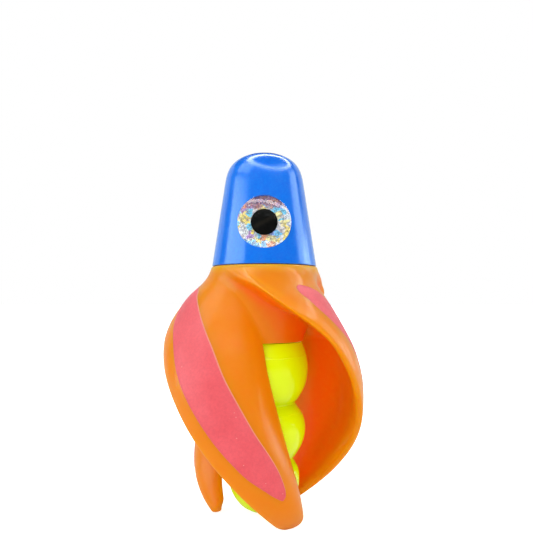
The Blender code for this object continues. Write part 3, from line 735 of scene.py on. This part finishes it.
def valley(height, foot):
    """Points from a vane's inner edge down to the hub and on to the foot of the next vane, with their
    painted shade.
    """
    web = web_share(height)
    start = ridge_azimuth(height) + vane_width(height) + EDGE_TO_VALLEY
    end = azimuth_of(foot)
    while end < start:
        end += TURN
    end -= VALLEY_TO_FOOT * (1 - web)
    t = np.linspace(0.0, 1.0, VALLEY_POINTS + 1)[:-1] ** VALLEY_CROWDING
    hub = hub_radius(height)
    drop = inner_radius(height) - hub
    rise = max(HUB_EDGE_ROUND - (height - HUB_BOTTOM), 0.0)
    rounding = HUB_EDGE_ROUND - math.sqrt(HUB_EDGE_ROUND ** 2 - rise ** 2)
    power = VALLEY_DROP_POWER - (VALLEY_DROP_POWER - VALLEY_WEB_POWER) * web
    radius = hub + drop * (1 - t) ** power - rounding * smooth_step(t / HUB_EDGE_REACH)
    # painted shade: the valley turns deeper red towards the ridge ahead and where free plates hang over
    # it
    painted_red_shade = VALLEY_DEEP_SHADE * max(web, LEAST_VALLEY_WEB) * smooth_step((t - 0.05) / 0.9)
    under = VALLEY_UNDER_SHADE * (1 - web) * smooth_step(t / 0.3)
    shade = (VALLEY_SHADE + hollow_share(height) * (painted_red_shade + under)) * (1 - lip_share(height))
    return polar(radius, start + t * (end - start), height), shade


def hub_heights():
    """Heights of the hub's sections, closer together at its rounded lower and upper edges."""
    low = HUB_BOTTOM + HUB_EDGE_ROUND * (1 - np.cos(np.linspace(0, np.pi / 2, EDGE_ROWS)))
    middle = np.linspace(low[-1], COLLAR_TOP - COLLAR_LIP, HUB_ROWS)[1:]
    high = COLLAR_TOP - COLLAR_LIP * (1 - np.sin(np.linspace(0, np.pi / 2, LIP_ROWS)))[1:]
    return np.concatenate([low, middle, high])


def vane_heights():
    """Heights of a free vane's sections from the hub down, closer together at the tip."""
    tip = TIP_HEIGHT * (1 - np.cos(np.linspace(0, np.pi / 2, TIP_ROWS)))
    free = np.linspace(TIP_HEIGHT, HUB_BOTTOM, FREE_ROWS)
    return np.concatenate([tip, free[1:-1]])[::-1]


def rotor_shape():
    """The rotor's outside: a collar and hub above HUB_BOTTOM, and three free vanes below it."""
    shape = Shape()
    shared = [{} for _ in range(VANES)]
    lower = None
    for height in hub_heights():
        outer, edge, inner, ridge = vane_section(height)
        lip = max(height - COLLAR_TOP + COLLAR_LIP, 0.0) / COLLAR_LIP
        shrink = 1 - (1 - math.sqrt(max(1 - lip * lip, 0.0))) * COLLAR_LIP / COLLAR_RADIUS
        foot = turned_by(inner[0][0], VANE_STEP)
        low_ground = valley(height, foot)
        loop = []
        underside = []
        for k in range(VANES):
            parts = []
            for (points, shade), ahead in ((outer, 0), (low_ground, 0), (inner, 1), (ridge, 1)):
                placed = turned_by(points, VANE_STEP * (k + ahead)) * (shrink, shrink, 1.0)
                parts.append(shape.add(placed, shade))
            loop += sum(parts, [])
            if lower is None:
                following = (k + 1) % VANES
                shared[k]["outer"] = parts[0]
                shared[following]["inner"] = parts[2]
                shared[following]["ridge"] = parts[3]
                rim = shape.add(turned_by(edge[0], VANE_STEP * following), edge[1])
                shared[following]["edge"] = rim
                underside.append([parts[0][-1]] + parts[1] + [parts[2][0]] + rim[::-1])
        if lower:
            shape.bridge(lower, loop)
        else:
            shape.faces.append(sum(underside, []))
        lower = loop
    shape.faces.append(lower)
    for k in range(VANES):
        upper = shared[k]["outer"] + shared[k]["edge"] + shared[k]["inner"] + shared[k]["ridge"]
        for height in vane_heights():
            loop = []
            for points, shade in vane_section(height):
                loop += shape.add(turned_by(points, VANE_STEP * k), shade)
            shape.bridge(loop, upper)
            upper = loop
        shape.faces.append(upper)
    return shape


# ---- stripes ----
# (height, place across the vane) stations of the stripe's two long edges, chosen from what a
# scratch program gave for the stripe edges measured in the photo.
stripe_near = curve([(4.3, 0.43), (4.7, 0.38), (5.5, 0.325), (6.8, 0.25), (8.5, 0.215), (14.0, 0.18),
                     (20.0, 0.2), (25.2, 0.2), (26.3, 0.24), (26.7, 0.3), (26.9, 0.36)])
stripe_far = curve([(4.3, 0.45), (4.6, 0.5), (5.2, 0.55), (6.0, 0.58), (12.0, 0.585), (18.0, 0.56),
                    (21.0, 0.53), (25.6, 0.52), (26.3, 0.51), (26.7, 0.45), (26.9, 0.38)])
STRIPE_LOW = 4.3
STRIPE_HIGH = 26.9
STRIPE_ROWS = 64
STRIPE_COLUMNS = 24
STRIPE_THICKNESS = 0.25
STRIPE_PROUD = 0.025
STRIPE_ROUND = 0.03  # share of the width over which its long edges round off
FLASH_RISE = 0.045  # the moulding flash along the stripe's right edge
FLASH_WIDTH = 0.022  # as a share of the stripe's width


def stripe_shape(k):
    """Curved inlay along vane k, a little proud, with a thin line of flash along its far edge."""
    shape = Shape()
    rows = []
    for row in range(STRIPE_ROWS + 1):
        height = (STRIPE_LOW + STRIPE_HIGH
                  - (STRIPE_HIGH - STRIPE_LOW) * math.cos(math.pi * row / STRIPE_ROWS)) / 2
        near = stripe_near(height)
        far = stripe_far(height)
        t = crowded(STRIPE_COLUMNS + 1, 0.5)
        across = near + (far - near) * t
        flash = np.exp(-((1 - t - FLASH_WIDTH / 2) / FLASH_WIDTH) ** 2)
        rim = smooth_step(np.minimum(t, 1 - t) / STRIPE_ROUND)
        out = (STRIPE_PROUD + FLASH_RISE * flash) * (0.2 + 0.8 * rim)
        way = inward(height, across)
        top = vane_point(height, across) - out[:, None] * way
        bottom = vane_point(height, across) + STRIPE_THICKNESS * way
        # the flash's values become the shade number, where the pink look paints its highlight
        loop = shape.add(turned_by(top, VANE_STEP * k), flash)
        rows.append(loop + shape.add(turned_by(bottom[::-1], VANE_STEP * k), flash[::-1]))
    for lower, upper in zip(rows, rows[1:]):
        shape.bridge(lower, upper)
    for row in (rows[0], rows[-1]):
        for i in range(STRIPE_COLUMNS):
            shape.faces.append((row[i], row[i + 1], row[-2 - i], row[-1 - i]))
    return shape


BUSH_POCKET_RADIUS = 1.8
BUSH_POCKET_DEPTH = 1.65
TUBE_BORE_RADIUS = 1.3
SPIGOT_RADIUS = 5.1
SOCKET_GAP = 0.08  # round and under the cap's spigot
CUTTER_RISE = 1.0  # how far the bore's cutter stands past the hub's two ends


def make_rotor():
    """Orange moulding with its bore, and the three pink stripes in its skin."""
    rotor = mesh_object("rotor_moulding", rotor_shape())
    low, high = HUB_BOTTOM - CUTTER_RISE, COLLAR_TOP + CUTTER_RISE
    pocket_top = HUB_BOTTOM + BUSH_POCKET_DEPTH
    socket_radius, socket_floor = SPIGOT_RADIUS + SOCKET_GAP, CAP_LOW - SOCKET_GAP
    bore = mesh_object("bore", disc_shape(
        [(0, low), (BUSH_POCKET_RADIUS, low), (BUSH_POCKET_RADIUS, pocket_top),
         (TUBE_BORE_RADIUS, pocket_top), (TUBE_BORE_RADIUS, socket_floor),
         (socket_radius, socket_floor), (socket_radius, high), (0, high)], ROUND_SEGMENTS))
    apply_cuts(rotor, [bore])
    pink = pink_look()
    for k in range(VANES):
        stripe = mesh_object("stripe_%d" % (k + 1), stripe_shape(k))
        finish_piece(stripe, pink, "rotor", "pink_plastic", "stripe_inlay_%d" % (k + 1))
    finish_piece(rotor, orange_look(), "rotor", "orange_plastic", "vane_rotor")


# ---- nose cap and eyes ----
CAP_BASE = 29.25
CAP_TOP = 42.7
CAP_BASE_RADIUS = 6.22
CAP_TAPER = 0.156
CAP_CROWN = 4.2
CAP_CROWN_POWER = 3.8
CAP_SEGMENTS = 160
DIMPLE_RADIUS = 1.9
DIMPLE_DEPTH = 0.65
NOSE_HOLE_RADIUS = 1.2
NOSE_WALL = 1.0  # between the dimple's floor and the bush
NOSE_BUSH_BOTTOM = 2.65  # these two are below the dimple's floor
NOSE_CAVITY_TOP = 3.35
CAVITY_RADIUS = 4.0
CAVITY_SHOULDER = 1.0  # above the cap's base
CAP_SHARP = 50.0  # degrees; sharper edges than this stay sharp
EYE_SHARP = 60.0
EYE_HEIGHT = 33.85
EYE_RADIUS = 3.0
EYE_SEAT_DEPTH = 0.75
EYE_SEAT_GAP = 0.02


def cap_radius(height):
    """Radius of the nose cap's outside: a tapered side closed by a superelliptic crown."""
    side = CAP_BASE_RADIUS - CAP_TAPER * (height - CAP_BASE)
    crown = max(height - (CAP_TOP - CAP_CROWN), 0.0) / CAP_CROWN
    return side * math.sqrt(max(1 - crown ** CAP_CROWN_POWER, 0.0))


def cap_height(radius):
    """Height at which the crown has a radius, found by halving."""
    low, high = CAP_TOP - CAP_CROWN, CAP_TOP
    for _ in range(40):
        middle = (low + high) / 2
        if cap_radius(middle) > radius:
            low = middle
        else:
            high = middle
    return low


def eye_matrix(azimuth):
    """Place of an eye's seat floor, with Z square to the cap's sloping side and Y up the cap."""
    slope = math.atan(CAP_TAPER)
    radius = cap_radius(EYE_HEIGHT) - EYE_SEAT_DEPTH / math.cos(slope)
    place = Vector(polar(radius, azimuth, EYE_HEIGHT) * MM)
    return (Matrix.Translation(place) @ Matrix.Rotation(math.radians(azimuth), 4, "Z")
            @ Matrix.Rotation(math.pi / 2 - slope, 4, "X"))


def make_cap():
    """Blue nose cap: rounded shell, spigot, front dimple and two eye seats."""
    side = [(cap_radius(z), z) for z in np.linspace(CAP_BASE + 0.12, CAP_TOP - CAP_CROWN, 24)]
    rim = cap_height(DIMPLE_RADIUS)
    crown = []
    for i in range(1, 40):
        height = CAP_TOP - CAP_CROWN + CAP_CROWN * math.sin(math.pi / 2 * i / 40)
        if height < rim - 0.08:
            crown.append((cap_radius(height), height))
    lip = [(DIMPLE_RADIUS + 0.13, rim - 0.035), (DIMPLE_RADIUS, rim - 0.02),
           (DIMPLE_RADIUS - 0.1, rim - 0.1)]
    floor = CAP_TOP - DIMPLE_DEPTH
    hem = [(CAP_BASE_RADIUS - 0.12, CAP_BASE), (CAP_BASE_RADIUS - 0.03, CAP_BASE + 0.035)]
    bush_top, bush_bottom = floor - NOSE_WALL, floor - NOSE_BUSH_BOTTOM
    inside = [(1.75, floor), (NOSE_HOLE_RADIUS, floor), (NOSE_HOLE_RADIUS, bush_top),
              (BUSH_POCKET_RADIUS, bush_top), (BUSH_POCKET_RADIUS, bush_bottom), (2.4, bush_bottom),
              (3.3, floor - NOSE_CAVITY_TOP),
              (CAVITY_RADIUS, CAP_BASE + CAVITY_SHOULDER), (CAVITY_RADIUS, CAP_LOW)]
    outline = ([(SPIGOT_RADIUS, CAP_LOW), (SPIGOT_RADIUS, CAP_BASE)] + hem + side + crown + lip
               + inside)
    cap = mesh_object("nose_shell", turned_shape(outline, CAP_SEGMENTS), CAP_SHARP)
    seat = EYE_RADIUS + EYE_SEAT_GAP
    cutters = []
    for azimuth in (0.0, 180.0):
        cutter = mesh_object("seat", disc_shape([(0, 0), (seat, 0), (seat, 3), (0, 3)],
                                                ROUND_SEGMENTS))
        cutter.matrix_world = eye_matrix(azimuth)
        cutters.append(cutter)
    apply_cuts(cap, cutters, CAP_SHARP)
    finish_piece(cap, blue_look(), "rotor", "blue_plastic", "nose_cap")


FILM_LOW = 0.05  # heights of the eye's layers are above its seat's floor
FILM_HIGH = 0.33
FILM_RINGS = 22
FILM_FLAT_RIM = 0.3  # the crinkles fade out over this much of the film's edge
FOLD_DEPTH = 0.05
FINE_DEPTH = 0.012
PUPIL_LOW = 0.38
PUPIL_RADIUS = 1.5
DOME_LOW = 0.52
DOME_SHOULDER = 0.66  # where the dome's elliptic arc starts
DOME_RISE = 0.52
DOME_RADIUS = 2.98


def foil_shape(seed):
    """Film disc whose face is crinkled by a few hundredths of a millimetre."""
    shape = Shape()
    around = np.arange(ROUND_SEGMENTS) * TURN / ROUND_SEGMENTS

    def crinkle(points):
        lifts = []
        for x, y, _ in points:
            fold = abs(noise.noise(Vector((x * 1.3 + seed, y * 1.3, 0.0))))
            fine = noise.noise(Vector((x * 4.0, y * 4.0 + seed, 1.0)))
            lifts.append(FOLD_DEPTH * (0.35 - fold) + FINE_DEPTH * fine)
        return np.array(lifts)

    loops = [shape.add(polar(EYE_RADIUS, around, FILM_LOW))]
    for i in range(FILM_RINGS, 0, -1):
        radius = EYE_RADIUS * i / FILM_RINGS
        points = polar(radius, around, FILM_HIGH)
        points[:, 2] += crinkle(points) * min((EYE_RADIUS - radius) / FILM_FLAT_RIM, 1.0)
        loops.append(shape.add(points))
    for lower, upper in zip(loops, loops[1:]):
        shape.bridge(lower, upper)
    shape.fan(loops[0], FILM_LOW)
    shape.fan(loops[-1], FILM_HIGH)
    return shape


def make_eye(side, azimuth, looks, seed):
    """Holographic film, printed pupil and clear resin dome in one of the cap's two seats."""
    film_look, black_look, resin_look = looks
    place = eye_matrix(azimuth)
    film = mesh_object("eye_film_" + side, foil_shape(seed), EYE_SHARP)
    rim = PUPIL_RADIUS - 0.03
    pupil = mesh_object("pupil_" + side, disc_shape(
        [(0, PUPIL_LOW), (rim, PUPIL_LOW), (PUPIL_RADIUS, PUPIL_LOW + 0.02),
         (PUPIL_RADIUS, PUPIL_LOW + 0.06), (rim, PUPIL_LOW + 0.08), (0, PUPIL_LOW + 0.085)],
        ROUND_SEGMENTS), EYE_SHARP)
    crown = arc((0.0, DOME_SHOULDER), (DOME_RADIUS, DOME_RISE), 0, 90, 28)[:-1]
    dome = mesh_object("eye_dome_lens_" + side, disc_shape(
        [(0, DOME_LOW), (DOME_RADIUS - 0.08, DOME_LOW), (DOME_RADIUS - 0.01, DOME_LOW + 0.04),
         (DOME_RADIUS, DOME_LOW + 0.08)] + crown + [(0, DOME_SHOULDER + DOME_RISE)], 128), EYE_SHARP)
    for piece, finish, slot, node in ((film, film_look, "eye_foil", "eye_foil_"),
                                      (pupil, black_look, "eye_pupil", "eye_pupil_"),
                                      (dome, resin_look, "eye_resin", "eye_dome_")):
        piece.matrix_world = place
        finish_piece(piece, finish, "rotor", slot, node + side)


# ---- beads and running gear ----
BEAD_OUTLINE = [(4.5, 20.3), (4.95, 19.0), (5.2, 17.1), (4.8, 14.95), (3.98, 13.5), (3.68, 13.1),
                (3.95, 12.6), (4.68, 11.4), (4.9, 10.1), (4.5, 8.2), (3.72, 6.85), (3.44, 6.4),
                (3.62, 6.0), (4.05, 5.2), (4.2, 4.2), (4.0, 2.75), (3.45, 1.7), (2.7, 0.85), (2.0, 0.4)]
BEAD_LINES = (18.72, 12.1)  # heights of the fine raised mould lines
BEAD_LINE_RISE = 0.05
BEAD_LINE_WIDTH = 0.06
BEAD_NECKS = (13.1, 6.4)
NECK_REACH = 0.9  # how far the painted shade in the necks spreads
BEAD_PLACES = 300
BEAD_SEGMENTS = 144
WASHER_SEAT_RADIUS = 2.4
WASHER_SEAT_DEPTH = 0.36
BEAD_BORE = 1.06
TAIL_POCKET_RADIUS = 1.7
TAIL_POCKET_DEPTH = 0.75


def make_beads():
    """Three merged beads, turned from a smooth outline with fine mould lines."""
    points = BEAD_OUTLINE[::-1]
    run = np.concatenate([[0.0], np.cumsum([math.dist(a, b) for a, b in zip(points, points[1:])])])
    radius_at = curve([(s, p[0]) for s, p in zip(run, points)])
    height_at = curve([(s, p[1]) for s, p in zip(run, points)])
    places = np.linspace(0.0, run[-1], BEAD_PLACES)
    radii, heights = radius_at(places), height_at(places)
    for line in BEAD_LINES:
        radii = radii + BEAD_LINE_RISE * np.exp(-((heights - line) / BEAD_LINE_WIDTH) ** 2)
    # painted shade in the necks, kept as each point's shade number
    neck = sum(np.exp(-((heights - place) / NECK_REACH) ** 2) for place in BEAD_NECKS)
    outline = list(zip(radii, heights))
    shades = list(np.clip(neck, 0.0, 1.0))
    seat, pocket = BEAD_TOP - WASHER_SEAT_DEPTH, BEAD_BOTTOM + TAIL_POCKET_DEPTH
    inner = [(WASHER_SEAT_RADIUS, BEAD_TOP), (WASHER_SEAT_RADIUS, seat), (BEAD_BORE, seat),
             (BEAD_BORE, pocket), (TAIL_POCKET_RADIUS, pocket), (TAIL_POCKET_RADIUS, BEAD_BOTTOM)]
    shape = turned_shape(outline + inner, BEAD_SEGMENTS, shades + [0.0] * len(inner))
    finish_piece(mesh_object("bead_string", shape), chartreuse_look(), "beads", "chartreuse_plastic",
                 "bead_core")


ROLL_WIDTH = 0.17  # half the width of an eyelet's roll
ROLL_DEPTH = 0.13  # flat enough to stay clear of the nose's dimple
THROAT_ROUND = 0.18
THROAT_RADIUS = 0.38
BARREL_RADIUS = 0.56
FLANGE_THICKNESS = 0.3
EYELET_SEGMENTS = 72


def make_running_gear():
    """Rolled brass eyelets in place of the plain ones, and metal and nylon looks for the rest."""
    brass = metal_look("eyelet_brass", (0.83, 0.56, 0.22), (0.6, 0.36, 0.13), 0.2, 0.24)
    steel = metal_look("tube_steel", (0.62, 0.62, 0.63), (0.42, 0.42, 0.43), 0.15, 0.26)
    washer = metal_look("washer_steel", (0.58, 0.58, 0.6), (0.4, 0.4, 0.41), 0.2, 0.34)
    for name, way in (("nose_eyelet", 1), ("tail_eyelet", -1)):
        low, high = low_high(name)
        face = high[2] if way > 0 else low[2]
        inner = low[2] if way > 0 else high[2]
        roll = arc((high[0] - ROLL_WIDTH, face - way * ROLL_DEPTH),
                   (ROLL_WIDTH, way * ROLL_DEPTH), -70, 90, 12)
        throat = arc((BARREL_RADIUS, face - way * THROAT_ROUND),
                     (THROAT_ROUND, way * THROAT_ROUND), 90, 180, 10)
        outline = roll + throat + [(THROAT_RADIUS, inner), (BARREL_RADIUS, inner),
                                   (BARREL_RADIUS, face - way * FLANGE_THICKNESS)]
        piece = mesh_object(name + "_rolled", turned_shape(outline, EYELET_SEGMENTS))
        finish_piece(piece, brass, "spindle", "eyelet_brass", name)
    for node, finish in (("line_tube", steel), ("thrust_washer", washer),
                         ("hub_bush", nylon_look()), ("nose_bush", nylon_look())):
        dress(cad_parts[node], finish)


# ---- stage ----
# Places and sizes are in metres, but for the lens, sensor and ring, which are in millimetres.
# The camera's distance, height, lens and shifts come from the same fit as the vane's stations.
CAMERA_DISTANCE = 0.06744
CAMERA_HEIGHT = 0.02514
CAMERA_LENS = 37.96
SENSOR = 36.0
SHIFT_X = 0.0043
SHIFT_Y = 0.0647
SURROUND = 0.88  # brightness of the white surround in soft light
REFLECTED_SURROUND = 0.03  # and in reflections
LURE_MIDDLE = 0.022
CARD_DISTANCE = 0.35
CARD_COLOUR = (0.84, 1.0, 1.0)
# name, azimuth, elevation, (width, height) and radiance of cards that give no soft light
REFLECTED_CARDS = [("left_softbox", -71, 8, (0.32, 0.27), 4.2),
                   ("upper_left_card", -72, 46, (0.24, 0.14), 3.0),
                   ("right_strip", 97, 18, (0.15, 0.2), 3.4),
                   ("low_right_card", 112, 6, (0.14, 0.14), 3.6),
                   ("upper_right_card", 65, 48, (0.2, 0.1), 1.7),
                   ("left_rear_card", -146, 8, (0.36, 0.4), 0.8),
                   ("right_rear_card", 148, 8, (0.3, 0.4), 0.8)]
RING_PLACE = (0.066, -0.024, 0.24)
RING_RADIUS = 165.0
RING_TUBE = (24.0, 12.0)
RING_GLOW = 7.0
FLOOR_HALF = 3.0
FLOOR_GAP = 0.00002
WHITE = (1.0, 1.0, 1.0, 1.0)


def make_camera():
    """Camera in front of the lure, with colours shown as they are rendered."""
    data = bpy.data.cameras.new("camera")
    data.lens = CAMERA_LENS
    data.sensor_width = SENSOR
    data.shift_x = SHIFT_X
    data.shift_y = SHIFT_Y
    data.clip_start = 0.001
    camera = new_object("camera", data)
    camera.location = (0.0, -CAMERA_DISTANCE, CAMERA_HEIGHT)
    camera.rotation_euler = (math.pi / 2, 0.0, 0.0)
    bpy.context.scene.camera = camera
    bpy.context.scene.view_settings.view_transform = "Standard"


def area_light(name, azimuth, elevation, distance, size, power, colour=(1.0, 1.0, 1.0)):
    """Softbox aimed at the lure's middle; size is (width, height) in metres."""
    data = bpy.data.lights.new(name, "AREA")
    data.shape = "RECTANGLE"
    data.size, data.size_y = size
    data.energy = power
    data.color = colour
    light = new_object(name, data)
    a, e = math.radians(azimuth), math.radians(elevation)
    target = Vector((0.0, 0.0, LURE_MIDDLE))
    way = Vector((math.sin(a) * math.cos(e), -math.cos(a) * math.cos(e), math.sin(e)))
    place = target + distance * way
    light.location = place
    light.rotation_euler = (place - target).to_track_quat("Z", "Y").to_euler()
    return light


def make_ring_lamp():
    """Glowing ring overhead, seen only in its reflections."""
    tube = arc((RING_RADIUS, 0.0), RING_TUBE, 0, 330, 12)
    ring = mesh_object("ring_lamp", turned_shape(tube, 64))
    ring.location = RING_PLACE
    look = Look("ring_lamp", Emission_Color=WHITE, Emission_Strength=RING_GLOW)
    ring.data.materials.append(look.material)
    ring.visible_camera = False
    ring.visible_diffuse = False
    ring.visible_shadow = False


def make_floor():
    """Pale floor that glows nearly white to the camera and only faintly to the lure."""
    half = FLOOR_HALF
    mesh = bpy.data.meshes.new("floor")
    mesh.from_pydata([(-half, -half, 0), (half, -half, 0), (half, half, 0), (-half, half, 0)], [],
                     [(0, 1, 2, 3)])
    floor = new_object("floor", mesh)
    floor.location = (0.0, 0.0, float(cad_bounds[0][2]) - FLOOR_GAP)
    look = Look("pale_floor", Roughness=0.8, Emission_Color=WHITE)
    look.set("Base Color", look.ramp(look.noise(30.0, 2.0), [(0.3, 0.8), (0.7, 0.82)]))
    seen = look.node("ShaderNodeLightPath").outputs["Is Camera Ray"]
    look.set("Emission Strength", look.span(seen, 0.0, 1.0, 0.1, 0.85))
    mesh.materials.append(look.material)


def make_surround():
    """World that is white to the camera, bright in soft light and dim in reflections."""
    world = bpy.data.worlds.new("surround")
    world.use_nodes = True
    tree = world.node_tree
    rays = tree.nodes.new("ShaderNodeLightPath")
    surround = tree.nodes["Background"]
    for ray, strength in (("Is Glossy Ray", REFLECTED_SURROUND), ("Is Camera Ray", 1.0)):
        other = tree.nodes.new("ShaderNodeBackground")
        other.inputs["Color"].default_value = WHITE
        other.inputs["Strength"].default_value = strength
        both = tree.nodes.new("ShaderNodeMixShader")
        tree.links.new(rays.outputs[ray], both.inputs[0])
        tree.links.new(surround.outputs[0], both.inputs[1])
        tree.links.new(other.outputs[0], both.inputs[2])
        surround = both
    tree.nodes["Background"].inputs["Color"].default_value = WHITE
    tree.nodes["Background"].inputs["Strength"].default_value = SURROUND
    tree.links.new(surround.outputs[0], tree.nodes["World Output"].inputs["Surface"])
    bpy.context.scene.world = world


def make_lights():
    """Cards for the reflections, and one key light that shows in none."""
    for name, azimuth, elevation, size, radiance in REFLECTED_CARDS:
        power = radiance * math.pi * size[0] * size[1]
        card = area_light(name, azimuth, elevation, CARD_DISTANCE, size, power, CARD_COLOUR)
        card.visible_diffuse = False
    key = area_light("key", -20, 45, distance=0.5, size=(0.3, 0.3), power=0.6)
    key.visible_glossy = False


make_camera()
make_floor()
make_surround()
make_lights()
make_ring_lamp()
make_rotor()
make_cap()
eye_looks = (foil_look(), pupil_look(), lens_look())
make_eye("front", 0.0, eye_looks, 3.0)
make_eye("back", 180.0, eye_looks, 11.0)
make_beads()
make_running_gear()
